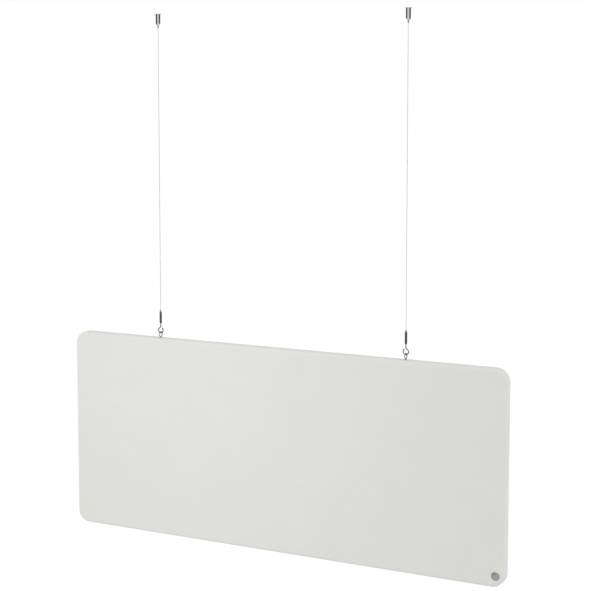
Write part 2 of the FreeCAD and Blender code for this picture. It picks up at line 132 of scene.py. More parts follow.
# Badge: share of the radius and share of the height of each place from the crown to the back
BADGE_SECTION = (
    (0.0, 1.0), (0.2, 0.98), (0.42, 0.915), (0.6, 0.825), (0.74, 0.735), (0.765, 0.69),
    (0.785, 0.60), (0.82, 0.57), (0.85, 0.59), (0.865, 0.635), (0.90, 0.62), (0.95, 0.54),
    (0.98, 0.42), (1.0, 0.25), (1.0, 0.0), (0.0, 0.0),
)
BADGE_STEPS = 72

# Stage: the floor's reach, the cards' height, and the camera at the photograph's place and angle
WHITE = (1.0, 1.0, 1.0, 1.0)
FLOOR_REACH = 30.0
CARD_LOW, CARD_HIGH = -1.8, 0.9
CAMERA_PLACE = (2.028, -3.776, -0.210)
CAMERA_YAW = math.radians(-27.59)
CAMERA_PITCH = math.radians(-5.72)
CAMERA_SHIFT = -0.1


class ClothSettings(bpy.types.PropertyGroup):
    """Fabric covers and their seam"""

    colour: FloatVectorProperty(
        name="Colour", description="Dyed colour of the yarn", subtype="COLOR", size=3,
        min=0.0, max=1.0, default=(0.755, 0.755, 0.725))
    thread_pitch: FloatProperty(
        name="Thread pitch", description="Distance from one thread to the next",
        unit="LENGTH", default=0.0011)
    thickness: FloatProperty(
        name="Thickness", description="Thickness of the cloth",
        unit="LENGTH", default=0.0011)
    corner_radius: FloatProperty(
        name="Corner radius", description="Radius of the panel's four corners",
        unit="LENGTH", default=0.038)
    edge_radius: FloatProperty(
        name="Edge radius", description="Rounding from the face to the edge",
        unit="LENGTH", default=0.008)
    ripple: FloatProperty(
        name="Ripple", description="Height of the slow waves in the stretched cloth",
        unit="LENGTH", default=0.00025)
    seam_depth: FloatProperty(
        name="Seam depth", description="How far the seam draws the two covers in",
        unit="LENGTH", default=0.0009)
    eye_dip: FloatProperty(
        name="Eye dip", description="How much further a screw eye draws the seam in",
        unit="LENGTH", default=0.0003)
    stitch_pitch: FloatProperty(
        name="Stitch pitch", description="Distance from one stitch to the next",
        unit="LENGTH", default=0.004)
    stitch_length: FloatProperty(
        name="Stitch length", description="Length of one stitch across the seam",
        unit="LENGTH", default=0.0026)


class RopeSettings(bpy.types.PropertyGroup):
    """Stranded steel wire"""

    colour: FloatVectorProperty(
        name="Colour", description="Drawn steel of the strands", subtype="COLOR", size=3,
        min=0.0, max=1.0, default=(0.82, 0.82, 0.82))
    diameter: FloatProperty(
        name="Diameter", description="Outer diameter of the rope",
        unit="LENGTH", default=0.0015)
    strands: IntProperty(
        name="Strands", description="Strands laid round the core", min=3, max=12, default=6)
    lay: FloatProperty(
        name="Lay", description="Length in which a strand goes once round",
        unit="LENGTH", default=0.010)


class MetalSettings(bpy.types.PropertyGroup):
    """Finishes of the hardware"""

    chrome: FloatVectorProperty(
        name="Chrome", description="Ceiling fittings", subtype="COLOR", size=3,
        min=0.0, max=1.0, default=(0.58, 0.58, 0.58))
    zinc: FloatVectorProperty(
        name="Zinc", description="Eyes, nipples and the grippers' noses", subtype="COLOR", size=3,
        min=0.0, max=1.0, default=(0.38, 0.38, 0.39))
    nickel: FloatVectorProperty(
        name="Dark nickel", description="Gripper tubes and hooks", subtype="COLOR", size=3,
        min=0.0, max=1.0, default=(0.13, 0.13, 0.135))
    badge: FloatVectorProperty(
        name="Badge", description="Button on the corner of the panel", subtype="COLOR", size=3,
        min=0.0, max=1.0, default=(0.36, 0.36, 0.35))
    eye_wire: FloatProperty(
        name="Eye wire", description="Diameter of the wire that the screw eye is bent from",
        unit="LENGTH", default=0.0028)


class StageSettings(bpy.types.PropertyGroup):
    """Floor, light and camera"""

    floor_drop: FloatProperty(
        name="Floor drop", description="Depth of the floor below the ceiling",
        unit="LENGTH", default=6.5)
    daylight: FloatProperty(
        name="Daylight", description="Strength of the even light from all round",
        min=0.0, default=0.905)
    key_power: FloatProperty(
        name="Key light", description="Power of the soft lamp in front of the panel",
        unit="POWER", min=0.0, default=3.1)
    fill_power: FloatProperty(
        name="Fill light", description="Power of the soft lamp beside the right end",
        unit="POWER", min=0.0, default=3.5)
    lens: FloatProperty(
        name="Lens", description="Focal length in millimetres on a 36 mm sensor",
        unit="CAMERA", min=1.0, default=91.67)


def settings(context, group):
    """One of the scene's groups of settings, by its short name."""
    return getattr(context.scene, f"hanging_{group}")


def new_object(name, data):
    """An object at the origin, linked to the scene."""
    made = bpy.data.objects.new(name, data)
    bpy.context.scene.collection.objects.link(made)
    return made


def dress(piece, body, slot, *stands_for):
    """Let a finished piece ride on its body and hide the nodes that it stands for; the slot is not used.
    """
    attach(piece, body)
    if stands_for:
        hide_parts(*stands_for)


def plain_mesh(source, name):
    """The evaluated shape of an object as a mesh of its own."""
    evaluated = source.evaluated_get(bpy.context.evaluated_depsgraph_get())
    mesh = bpy.data.meshes.new_from_object(evaluated)
    mesh.name = name
    return mesh


def shade_smooth(mesh):
    """Smooth shading on every face."""
    mesh.polygons.foreach_set("use_smooth", [True] * len(mesh.polygons))


def smooth_curve(name, places, steps):
    """A curve led by a row of places, as one smooth spline that reaches both ends."""
    curve = bpy.data.curves.new(name, "CURVE")
    curve.dimensions = "3D"
    curve.resolution_u = steps
    spline = curve.splines.new("NURBS")
    spline.points.add(len(places) - 1)
    for point, place in zip(spline.points, places):
        point.co = (*place, 1.0)
    spline.order_u = 3
    spline.use_endpoint_u = True
    return curve


def curve_mesh(curve, name):
    """The shape of a curve as a plain mesh; the curve is dropped."""
    holder = new_object(name, curve)
    mesh = plain_mesh(holder, name)
    bpy.data.objects.remove(holder)
    bpy.data.curves.remove(curve)
    return mesh


def add_node(tree, kind, inputs=None, **options):
    """A node with its options, and each input linked to a socket or set to a value."""
    made = tree.nodes.new(kind)
    for key, value in options.items():
        setattr(made, key, value)
    for key, value in (inputs or {}).items():
        if isinstance(value, bpy.types.NodeSocket):
            tree.links.new(value, made.inputs[key])
        else:
            made.inputs[key].default_value = value
    return made


def calc(tree, kind, operation, *values):
    """The result of a math node of a shader or geometry tree."""
    return add_node(tree, kind, dict(enumerate(values)), operation=operation).outputs[0]


def number(tree, operation, *values):
    """The result of a sum on numbers."""
    return calc(tree, "ShaderNodeMath", operation, *values)


def vector(tree, operation, *values):
    """The result of a sum on vectors."""
    return calc(tree, "ShaderNodeVectorMath", operation, *values)


def scaled(tree, value, factor):
    """A vector or colour times a number."""
    made = add_node(tree, "ShaderNodeVectorMath", {0: value, "Scale": factor}, operation="SCALE")
    return made.outputs[0]


def noise_texture(tree, inputs, **options):
    """The value of a noise texture."""
    return add_node(tree, "ShaderNodeTexNoise", inputs, **options).outputs[0]


def swing(tree, value, amount):
    """A noise value turned into a swing to either side of nought."""
    return number(tree, "MULTIPLY", number(tree, "SUBTRACT", value, 0.5), amount)


def new_group(name, kind, inputs, outputs):
    """An empty node group with named sockets, and its input and output nodes."""
    tree = bpy.data.node_groups.new(name, kind)
    for in_out, sockets in (("INPUT", inputs), ("OUTPUT", outputs)):
        for label, socket_type in sockets.items():
            tree.interface.new_socket(label, in_out=in_out, socket_type=f"NodeSocket{socket_type}")
    return tree, tree.nodes.new("NodeGroupInput").outputs, tree.nodes.new("NodeGroupOutput").inputs


def run_tree(host, tree, name, values):
    """Run a geometry tree on a host object, keep the result as a plain mesh and drop the host."""
    modifier = host.modifiers.new(tree.name, "NODES")
    modifier.node_group = tree
    for item in tree.interface.items_tree:
        if item.in_out == "INPUT" and item.name in values:
            modifier[item.identifier] = values[item.name]
    mesh = plain_mesh(host, name)
    bpy.data.objects.remove(host)
    return mesh


def woven_threads():
    """Plain weave over a surface measured in metres: thread tone, painted shade in the gaps and painted
    highlight on the crowns, and height.
    """
    tree, given, result = new_group(
        "woven_threads", "ShaderNodeTree",
        {"Surface": "Vector", "Pitch": "Float", "Slub": "Float"},
        {"Shade": "Float", "Height": "Float"})
    cloth = scaled(tree, given["Surface"], number(tree, "DIVIDE", 1.0, given["Pitch"]))
    across, along, _ = add_node(tree, "ShaderNodeSeparateXYZ", {0: cloth}).outputs
    crowns = []
    cells = []
    for place in (across, along):
        offset = number(tree, "MULTIPLY_ADD", number(tree, "FRACT", place), 2.0, -1.0)
        crowns.append(number(tree, "SUBTRACT", 1.0, number(tree, "MULTIPLY", offset, offset)))
        cells.append(number(tree, "FLOOR", place))
    over = number(tree, "FLOORED_MODULO", number(tree, "ADD", *cells), 2.0)
    threads = []
    tones = []
    for crown, other, squeeze in (
        (crowns[0], crowns[1], (1.0, TONE_SQUEEZE, 1.0)),
        (crowns[1], crowns[0], (TONE_SQUEEZE, 1.0, 1.0)),
    ):
        lift = number(tree, "MULTIPLY_ADD", other, 0.5, 0.5)
        threads.append(number(tree, "MULTIPLY", number(tree, "SQRT", crown), lift))
        run = vector(tree, "MULTIPLY", cloth, squeeze)
        tones.append(noise_texture(tree, {"Vector": run, "Scale": 0.9, "Detail": 1.0}))

    def top_thread(pair):
        blend = add_node(tree, "ShaderNodeMix", {"Factor": over, "A": pair[0], "B": pair[1]})
        return blend.outputs[0]

    height = top_thread(threads)
    tone = swing(tree, top_thread(tones), given["Slub"])
    # Painted shade: the colour darkens where the cloth lies low between threads and lightens a little on
    # the crowns
    painted_gap_shade = number(tree, "MULTIPLY", number(tree, "SUBTRACT", height, GAP_HEIGHT), GAP_SHADE)
    shade = number(tree, "ADD", number(tree, "ADD", 1.0, tone), painted_gap_shade)
    tree.links.new(shade, result["Shade"])
    tree.links.new(height, result["Height"])


def cloudy_colour():
    """A colour that wanders a little over the surface."""
    tree, given, result = new_group(
        "cloudy_colour", "ShaderNodeTree",
        {"Place": "Vector", "Colour": "Color", "Scale": "Float", "Amount": "Float"},
        {"Colour": "Color"})
    cloud = noise_texture(tree, {"Vector": given["Place"], "Scale": given["Scale"], "Detail": 4.0})
    brightness = number(tree, "ADD", 1.0, swing(tree, cloud, given["Amount"]))
    tree.links.new(scaled(tree, given["Colour"], brightness), result["Colour"])


def turned_marks():
    """Fine rings that a lathe or polishing wheel leaves, with the smudges of handling."""
    tree, given, result = new_group(
        "turned_marks", "ShaderNodeTree",
        {"Place": "Vector", "Spacing": "Float", "Roughness": "Float", "Smudge": "Float"},
        {"Roughness": "Float", "Height": "Float"})
    height = add_node(tree, "ShaderNodeSeparateXYZ", {0: given["Place"]}).outputs[2]
    turns = number(tree, "DIVIDE", height, given["Spacing"])
    rings = noise_texture(tree, {"W": turns, "Scale": 1.0, "Detail": 2.0}, noise_dimensions="1D")
    smudges = noise_texture(tree, {"Vector": given["Place"], "Scale": 260.0, "Detail": 3.0})
    worn = swing(tree, smudges, given["Smudge"])
    tree.links.new(number(tree, "ADD", given["Roughness"], worn), result["Roughness"])
    tree.links.new(rings, result["Height"])


def blank_material(name):
    """A new material, with its tree and its Principled shader."""
    material = bpy.data.materials.new(name)
    material.use_nodes = True
    tree = material.node_tree
    return material, tree, tree.nodes["Principled BSDF"]


def use_group(tree, group, **inputs):
    """A node group placed in a material."""
    return add_node(tree, "ShaderNodeGroup", inputs, node_tree=bpy.data.node_groups[group]).outputs


def bump(tree, shader, height, strength, distance):
    """Drive a shader's normal from a height."""
    made = add_node(tree, "ShaderNodeBump",
                    {"Height": height, "Strength": strength, "Distance": distance})
    tree.links.new(made.outputs[0], shader.inputs["Normal"])


def cloth_finish(colour, pitch):
    """Fine woven polyester."""
    material, tree, shader = blank_material("woven polyester")
    surface = add_node(tree, "ShaderNodeUVMap", uv_map="cloth").outputs[0]
    place = add_node(tree, "ShaderNodeTexCoord").outputs["Object"]
    weave = use_group(tree, "woven_threads", Surface=surface, Pitch=pitch, Slub=0.10)
    dyed = use_group(tree, "cloudy_colour", Place=place, Colour=(*colour, 1.0), Scale=9.0, Amount=0.035)
    # The weave's shade scales the dyed colour, so the painted shade in the gaps and painted highlight on
    # the crowns go into the colour
    tree.links.new(scaled(tree, dyed["Colour"], weave["Shade"]), shader.inputs["Base Color"])
    bump(tree, shader, weave["Height"], strength=0.35, distance=0.0003)
    shader.inputs["Roughness"].default_value = 0.92
    shader.inputs["Specular IOR Level"].default_value = 0.2
    shader.inputs["Sheen Weight"].default_value = 0.12
    shader.inputs["Sheen Roughness"].default_value = 0.5
    return material


def fibre_finish(name, colour, scale, amount, roughness, grain=(1.0, 1.0, 1.0)):
    """Felt, timber or moulded plastic: a clouded colour with a fine grain that may run one way."""
    material, tree, shader = blank_material(name)
    place = add_node(tree, "ShaderNodeTexCoord").outputs["Object"]
    drawn = vector(tree, "MULTIPLY", place, grain)
    tint = use_group(
        tree, "cloudy_colour", Place=drawn, Colour=(*colour, 1.0), Scale=scale, Amount=amount)
    tree.links.new(tint["Colour"], shader.inputs["Base Color"])
    fibres = noise_texture(tree, {"Vector": drawn, "Scale": 4 * scale, "Detail": 6.0})
    bump(tree, shader, fibres, strength=0.4, distance=0.0003)
    shader.inputs["Roughness"].default_value = roughness
    return material


def metal_finish(name, colour, roughness, spacing, smudge=0.08):
    """Bare or plated metal with turning marks."""
    material, tree, shader = blank_material(name)
    place = add_node(tree, "ShaderNodeTexCoord").outputs["Object"]
    marks = use_group(
        tree, "turned_marks", Place=place, Spacing=spacing, Roughness=roughness, Smudge=smudge)
    tint = use_group(tree, "cloudy_colour", Place=place, Colour=(*colour, 1.0), Scale=180.0, Amount=0.12)
    tree.links.new(tint["Colour"], shader.inputs["Base Color"])
    tree.links.new(marks["Roughness"], shader.inputs["Roughness"])
    bump(tree, shader, marks["Height"], strength=0.05, distance=0.00005)
    shader.inputs["Metallic"].default_value = 1.0
    return material


class HANGING_OT_finishes(bpy.types.Operator):
    """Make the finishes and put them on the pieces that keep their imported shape"""

    bl_idname = "hanging.finishes"
    bl_label = "Finishes"

    def execute(self, context):
        for build in (woven_threads, cloudy_colour, turned_marks):
            build()
        metal = settings(context, "metal")
        cloth = settings(context, "cloth")
        rope = settings(context, "rope")
        made = {
            "polished_chrome": metal_finish(
                "polished chrome", metal.chrome, roughness=0.12, spacing=0.0004),
            "bright_steel": metal_finish(
                "bright zinc", metal.zinc, roughness=0.30, spacing=0.0003, smudge=0.15),
            "dark_nickel": metal_finish(
                "dark nickel plate", metal.nickel, roughness=0.28, spacing=0.0004),
            "wire_rope": metal_finish(
                "drawn wire", rope.colour, roughness=0.35, spacing=0.0008, smudge=0.15),
            "brass": metal_finish(
                "turned brass", (0.72, 0.57, 0.28), roughness=0.30, spacing=0.0003),
            "badge_steel": metal_finish(
                "satin badge", metal.badge, roughness=0.34, spacing=0.0003),
            "nylon": fibre_finish(
                "moulded nylon", (0.78, 0.77, 0.73), scale=300.0, amount=0.05, roughness=0.5),
            "timber": fibre_finish(
                "planed timber", (0.62, 0.45, 0.27), scale=60.0, amount=0.5, roughness=0.6,
                grain=(0.05, 1.0, 1.0)),
            "felt": fibre_finish(
                "needle felt", (0.70, 0.70, 0.66), scale=220.0, amount=0.3, roughness=0.95),
            "cover_fabric": cloth_finish(cloth.colour, cloth.thread_pitch),
        }
        for node, slot in SLOT_OF.items():
            NODES[node].material_slots[0].material = made[slot]
        for slot, material in made.items():
            material["record_slot"] = slot
        return {"FINISHED"}


def finish(slot):
    """The material made for one of the record's slots."""
    return next(material for material in bpy.data.materials if material.get("record_slot") == slot)


def rope_tree():
    """Strands laid in a helix round a core, along the host's line."""
    tree, given, result = new_group(
        "lay_rope", "GeometryNodeTree",
        {"Geometry": "Geometry", "Diameter": "Float", "Strands": "Int", "Lay": "Float",
         "Material": "Material"},
        {"Geometry": "Geometry"})
    line = add_node(tree, "GeometryNodeMeshToCurve", {0: given["Geometry"]}).outputs[0]
    step = number(tree, "DIVIDE", given["Lay"], TURN_POINTS)
    route = add_node(tree, "GeometryNodeResampleCurve",
                     {"Curve": line, "Length": step}, mode="LENGTH").outputs[0]
    copies = add_node(tree, "GeometryNodeDuplicateElements",
                      {"Geometry": route, "Amount": given["Strands"]}, domain="SPLINE")
    length = add_node(tree, "GeometryNodeSplineParameter").outputs["Length"]
    turns = number(tree, "ADD", number(tree, "DIVIDE", length, given["Lay"]),
                   number(tree, "DIVIDE", copies.outputs[1], given["Strands"]))
    angle = number(tree, "MULTIPLY", turns, math.tau)
    normal = add_node(tree, "GeometryNodeInputNormal").outputs[0]
    tangent = add_node(tree, "GeometryNodeInputTangent").outputs[0]
    aside = vector(tree, "CROSS_PRODUCT", tangent, normal)
    outward = vector(tree, "ADD", scaled(tree, normal, number(tree, "COSINE", angle)),
                     scaled(tree, aside, number(tree, "SINE", angle)))
    # A core between two strands of its own thickness makes the rope three strands across
    strand = number(tree, "DIVIDE", given["Diameter"], 3.0)
    strands = add_node(tree, "GeometryNodeSetPosition", {
        "Geometry": copies.outputs[0], "Offset": scaled(tree, outward, strand),
    }).outputs[0]
    section = add_node(tree, "GeometryNodeCurvePrimitiveCircle", {
        "Resolution": 7, "Radius": number(tree, "MULTIPLY", strand, 0.5),
    }).outputs[0]
    joined = add_node(tree, "GeometryNodeJoinGeometry")
    for core_or_strands in (strands, route):
        swept = add_node(tree, "GeometryNodeCurveToMesh", {
            "Curve": core_or_strands, "Profile Curve": section, "Fill Caps": True,
        }).outputs[0]
        tree.links.new(swept, joined.inputs[0])
    real = add_node(tree, "GeometryNodeRealizeInstances", {0: joined.outputs[0]}).outputs[0]
    coloured = add_node(tree, "GeometryNodeSetMaterial",
                        {"Geometry": real, "Material": given["Material"]}).outputs[0]
    tree.links.new(coloured, result["Geometry"])
    return tree


def straight_route(x, top, bottom, lead):
    """A taut line as a smooth spline, with a point a short lead from each end."""
    heights = (top, top - lead, bottom + lead, bottom)
    curve = smooth_curve("route", [(x, 0.0, z) for z in heights], ROUTE_STEPS)
    return curve_mesh(curve, "route")


class HANGING_OT_wires(bpy.types.Operator):
    """Stranded wire rope on each hanger, from the ceiling fitting into the gripper"""

    bl_idname = "hanging.wires"
    bl_label = "Wires"

    def execute(self, context):
        rope = settings(context, "rope")
        tree = rope_tree()
        values = {"Diameter": rope.diameter, "Strands": rope.strands, "Lay": rope.lay,
                  "Material": finish("wire_rope")}
        for side, x in HANGER_X.items():
            route = straight_route(x, WIRE_TOP, WIRE_BOTTOM, LEAD_DIAMETERS * rope.diameter)
            path = [tuple(point.co) for point in route.vertices]
            mesh = run_tree(new_object("rope_host", route), tree, f"{side}_rope", values)
            shade_smooth(mesh)
            piece = new_object(f"{side}_rope", mesh)
            dress(piece, f"{side}_hanger", "wire_rope", f"{side}_wire")
        return {"FINISHED"}


def run_places(half, step, extra=()):
    """Places along a straight run from -half to half, evenly spaced, with some extra ones."""
    count = max(2, round(2 * half / step))
    even = [half * (2 * index / count - 1) for index in range(count + 1)]
    kept = [place for place in even if all(abs(place - other) > step / 3 for other in extra)]
    kept[0], kept[-1] = -half, half
    return sorted([*kept, *extra])


def outline(xs, zs, radius):
    """Points round the panel, anticlockwise from the bottom left, with their outward normals.

    Each also has its place in the grid of xs and zs that fills the face.
    """
    last_x, last_z = len(xs) - 1, len(zs) - 1
    reach_x, reach_z = xs[-1] + radius, zs[-1] + radius
    runs = [
        ([(x, -reach_z) for x in xs], [(i, 0) for i in range(len(xs))], -90),
        ([(reach_x, z) for z in zs], [(last_x, j) for j in range(len(zs))], 0),
        ([(x, reach_z) for x in reversed(xs)], [(i, last_z) for i in reversed(range(len(xs)))], 90),
        ([(-reach_x, z) for z in reversed(zs)], [(0, j) for j in reversed(range(len(zs)))], 180),
    ]
    found = []
    for places, cells, heading in runs:
        turn = math.radians(heading)
        normal = (round(math.cos(turn)), round(math.sin(turn)))
        found += [(place, normal, cell) for place, cell in zip(places, cells)]
        centre = [place - radius * part for place, part in zip(places[-1], normal)]
        for step in range(1, CORNER_STEPS):
            angle = turn + math.pi / 2 * step / CORNER_STEPS
            aim = (math.cos(angle), math.sin(angle))
            found.append((tuple(c + radius * part for c, part in zip(centre, aim)), aim, cells[-1]))
    return found


def cover_rows(cloth):
    """Inset, depth and unrolled length of each ring, from the seam to where the flat face begins."""
    wall = HALF_THICK - cloth.edge_radius
    arc = cloth.edge_radius * math.pi / 2
    rows = []
    for depth in (*SIDE_DEPTHS, wall):
        draw = cloth.seam_depth * math.exp(-((depth / SEAM_REACH) ** 2))
        rows.append((draw, depth, arc + wall - depth))
    for step in range(1, BEND_STEPS + 1):
        angle = math.pi / 2 * step / BEND_STEPS
        rows.append((
            cloth.edge_radius * (1 - math.cos(angle)),
            wall + cloth.edge_radius * math.sin(angle),
            cloth.edge_radius * (math.pi / 2 - angle),
        ))
    for inset in FACE_INSETS:
        rows.append((inset, HALF_THICK, cloth.edge_radius - inset))
    return rows


def eye_pull(x, upward, depth, dip):
    """How much further a screw eye draws the cloth in; nought away from the top edge's seam."""
    if upward <= FACING_UP or depth >= DIP_REACH:
        return 0.0
    from_eye = min(abs(x - hanger) for hanger in HANGER_X.values())
    return dip * math.exp(-((from_eye / DIP_REACH) ** 2) - (depth / DIP_DEPTH) ** 2)


def cloth_wave(x, z, height):
    """Slow waves of the stretched cloth at a place on the face, dying out towards the edge."""
    to_edge = min(HALF_LENGTH - abs(x), HALF_HEIGHT - abs(z))
    fade = min(1.0, max(0.0, to_edge / RIPPLE_FADE))
    slow = noise.noise(Vector((4.0 * x, 0.0, 7.0 * z)))
    quick = noise.noise(Vector((17.0 * x, 3.0, 19.0 * z)))
    return height * fade * (slow + 0.4 * quick)


def cloth_faces(rings, grid):
    """Faces between neighbouring rings and over the grid of the flat face."""
    count = len(rings[0])
    faces = []
    for outer, inner in zip(rings, rings[1:]):
        for index in range(count):
            after = (index + 1) % count
            corners = [outer[index], outer[after], inner[after], inner[index]]
            faces.append(list(dict.fromkeys(corners)))
    for i, j in grid:
        if (i + 1, j + 1) in grid:
            faces.append([grid[i, j], grid[i + 1, j], grid[i + 1, j + 1], grid[i, j + 1]])
    return faces


def cover_mesh(name, cloth, sign):
    """One half of the cover: seam, edge, rounding and flat face, with a map of the unrolled cloth."""
    eye_places = [x + step for x in HANGER_X.values() for step in EYE_STEPS]
    xs = run_places(HALF_LENGTH - cloth.corner_radius, FACE_GRID, eye_places)
    zs = run_places(HALF_HEIGHT - cloth.corner_radius, FACE_GRID)
    edge = outline(xs, zs, cloth.corner_radius)
    points = []
    unrolled = []

    def put(x, depth, z, across, up):
        points.append((x, sign * depth, PANEL_MIDDLE_Z + z))
        unrolled.append((across, up))
        return len(points) - 1

    rings = []
    for inset, depth, roll in cover_rows(cloth):
        ring = []
        beyond = roll - cloth.edge_radius
        for (x, z), (nx, nz), _ in edge:
            pull = inset + eye_pull(x, nz, depth, cloth.eye_dip)
            ring.append(put(x - nx * pull, depth, z - nz * pull, x + nx * beyond, z + nz * beyond))
        rings.append(ring)
    grid = {}
    for i, x in enumerate(xs):
        for j, z in enumerate(zs):
            grid[i, j] = put(x, HALF_THICK + cloth_wave(x, z, cloth.ripple), z, x, z)
    rings.append([grid[cell] for _, _, cell in edge])
    faces = cloth_faces(rings, grid)
    if sign > 0:
        faces = [face[::-1] for face in faces]
    mesh = bpy.data.meshes.new(name)
    mesh.from_pydata(points, [], faces)
    layer = mesh.uv_layers.new(name="cloth")
    for loop in mesh.loops:
        layer.uv[loop.index].vector = unrolled[loop.vertex_index]
    shade_smooth(mesh)
    return mesh


class HANGING_OT_covers(bpy.types.Operator):
    """Front and rear cloth covers, stretched over the felt and meeting in a seam"""

    bl_idname = "hanging.covers"
    bl_label = "Covers"

    def execute(self, context):
        cloth = settings(context, "cloth")
        for name, sign in (("front_cover", -1), ("rear_cover", 1)):
            mesh = cover_mesh(f"{name}_cloth", cloth, sign)
            mesh.materials.append(finish("cover_fabric"))
            piece = new_object(f"{name}_cloth", mesh)
            wall = piece.modifiers.new("cloth thickness", "SOLIDIFY")
            wall.thickness = cloth.thickness
            wall.offset = -1.0
            dress(piece, "panel", "cover_fabric", name)
        return {"FINISHED"}


def stitch_tree():
    """Short threads across the host's line, at a fixed pitch and leaning one way."""
    tree, given, result = new_group(
        "sew_seam", "GeometryNodeTree",
        {"Geometry": "Geometry", "Pitch": "Float", "Length": "Float", "Lean": "Float",
         "Material": "Material"},
        {"Geometry": "Geometry"})
    line = add_node(tree, "GeometryNodeMeshToCurve", {0: given["Geometry"]}).outputs[0]
    places = add_node(tree, "GeometryNodeCurveToPoints",
                      {"Curve": line, "Length": given["Pitch"]}, mode="LENGTH")
    ball = add_node(tree, "GeometryNodeMeshUVSphere",
                    {"Segments": 6, "Rings": 5, "Radius": 0.5}).outputs[0]
    thick = number(tree, "MULTIPLY", given["Length"], STITCH_THICKNESS)
    shape = add_node(tree, "ShaderNodeCombineXYZ",
                     {"X": thick, "Y": given["Length"], "Z": thick}).outputs[0]
    thread = add_node(tree, "GeometryNodeTransform", {"Geometry": ball, "Scale": shape}).outputs[0]
    lean = add_node(tree, "ShaderNodeCombineXYZ", {"Z": given["Lean"]}).outputs[0]
    sewn = add_node(tree, "GeometryNodeInstanceOnPoints",
                    {"Points": places.outputs[0], "Instance": thread}).outputs[0]
    heading = add_node(tree, "FunctionNodeAlignRotationToVector",
                       {"Vector": places.outputs["Tangent"]}, axis="X", pivot_axis="Y").outputs[0]
    set_heading = add_node(tree, "GeometryNodeRotateInstances",
                           {"Instances": sewn, "Rotation": heading}).outputs[0]
    leaning = add_node(tree, "GeometryNodeRotateInstances",
                       {"Instances": set_heading, "Rotation": lean, "Local Space": True}).outputs[0]
    real = add_node(tree, "GeometryNodeRealizeInstances", {0: leaning}).outputs[0]
    coloured = add_node(tree, "GeometryNodeSetMaterial",
                        {"Geometry": real, "Material": given["Material"]}).outputs[0]
    tree.links.new(coloured, result["Geometry"])
    return tree


class HANGING_OT_seam(bpy.types.Operator):
    """Row of stitches that draws the two covers together round the edge"""

    bl_idname = "hanging.seam"
    bl_label = "Seam"

    def execute(self, context):
        cloth = settings(context, "cloth")
        xs = run_places(HALF_LENGTH - cloth.corner_radius, SEAM_GRID)
        zs = run_places(HALF_HEIGHT - cloth.corner_radius, SEAM_GRID)
        sink = cloth.seam_depth * STITCH_SINK
        points = [
            (x - nx * sink, 0.0, PANEL_MIDDLE_Z + z - nz * sink)
            for (x, z), (nx, nz), _ in outline(xs, zs, cloth.corner_radius)
        ]
        count = len(points)
        line = bpy.data.meshes.new("seam_line")
        line.from_pydata(points, [(index, (index + 1) % count) for index in range(count)], [])
        values = {"Pitch": cloth.stitch_pitch, "Length": cloth.stitch_length, "Lean": STITCH_LEAN,
                  "Material": finish("cover_fabric")}
        mesh = run_tree(new_object("seam_host", line), stitch_tree(), "seam_stitches", values)
        mesh.uv_layers.new(name="cloth")
        shade_smooth(mesh)
        dress(new_object("seam_stitches", mesh), "panel", "cover_fabric")
        return {"FINISHED"}


def rims(shape):
    """The sharp outer edges of a shape, in groups joined end to end."""
    left = {edge for edge in shape.edges if edge.is_convex and edge.calc_face_angle() > SHARP_ANGLE}
    while left:
        rim = [left.pop()]
        for edge in rim:
            joined = {other for corner in edge.verts for other in corner.link_edges} & left
            left -= joined
            rim += joined
        yield rim


def breadth(face, edge):
    """How far a face reaches from one of its edges; a part of a ring counts as a strip."""
    area = face.calc_area()
    corners = len(face.verts)
    if corners <= 4:
        return area / edge.calc_length() * (2 if corners == 3 else 1)
    around = face.calc_perimeter()
    return (around - math.sqrt(max(0.0, around ** 2 - 16 * area))) / 4


def eased_copy(node, name, width):
    """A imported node's shape, its facets merged and its sharp edges eased as far as they have room."""
    shape = bmesh.new()
    shape.from_mesh(NODES[node].data)
    bmesh.ops.remove_doubles(shape, verts=shape.verts, dist=MERGE_DISTANCE)
    bmesh.ops.dissolve_limit(shape, angle_limit=FLAT_ANGLE, verts=shape.verts, edges=shape.edges)
    eased = shape.edges.layers.float.new("bevel_weight_edge")
    for rim in rims(shape):
        room = statistics.median(min(breadth(face, edge) for face in edge.link_faces) for edge in rim)
        share = room / (EASING_ROOM * width)
        if share > LEAST_EASING:
            for edge in rim:
                edge[eased] = min(1.0, share)
    mesh = bpy.data.meshes.new(name)
    shape.to_mesh(mesh)
    shape.free()
    shade_smooth(mesh)
    made = new_object(name, mesh)
    easing = made.modifiers.new("eased edges", "BEVEL")
    easing.width = width
    easing.segments = 2
    easing.limit_method = "WEIGHT"
    easing.use_clamp_overlap = False
    easing.harden_normals = True
    made.data = plain_mesh(made, name)
    made.modifiers.clear()
    bpy.data.meshes.remove(mesh)
    return made


def refinish(piece, slot):
    """Give a copied piece the finish of its slot alone."""
    piece.data.materials.clear()
    piece.data.materials.append(finish(slot))


def round_shading(mesh, x):
    """Shade the facets of a turned piece as round surfaces about its upright axis."""
    normals = []
    for face in mesh.polygons:
        outward = Vector((face.center.x - x, face.center.y, 0.0)).normalized()
        lean = face.normal.dot(outward)
        for corner in face.vertices:
            place = mesh.vertices[corner].co
            around = Vector((place.x - x, place.y, 0.0)).normalized()
            normals.append(lean * around + Vector((0.0, 0.0, face.normal.z)))
    mesh.normals_split_custom_set(normals)


class HANGING_OT_felt(bpy.types.Operator):
    """Felt slab inside the covers"""

    bl_idname = "hanging.felt"
    bl_label = "Felt"

    def execute(self, context):
        slab = eased_copy("felt_core", "felt_slab", width=0.0006)
        refinish(slab, "felt")
        dress(slab, "panel", "felt", "felt_core")
        return {"FINISHED"}


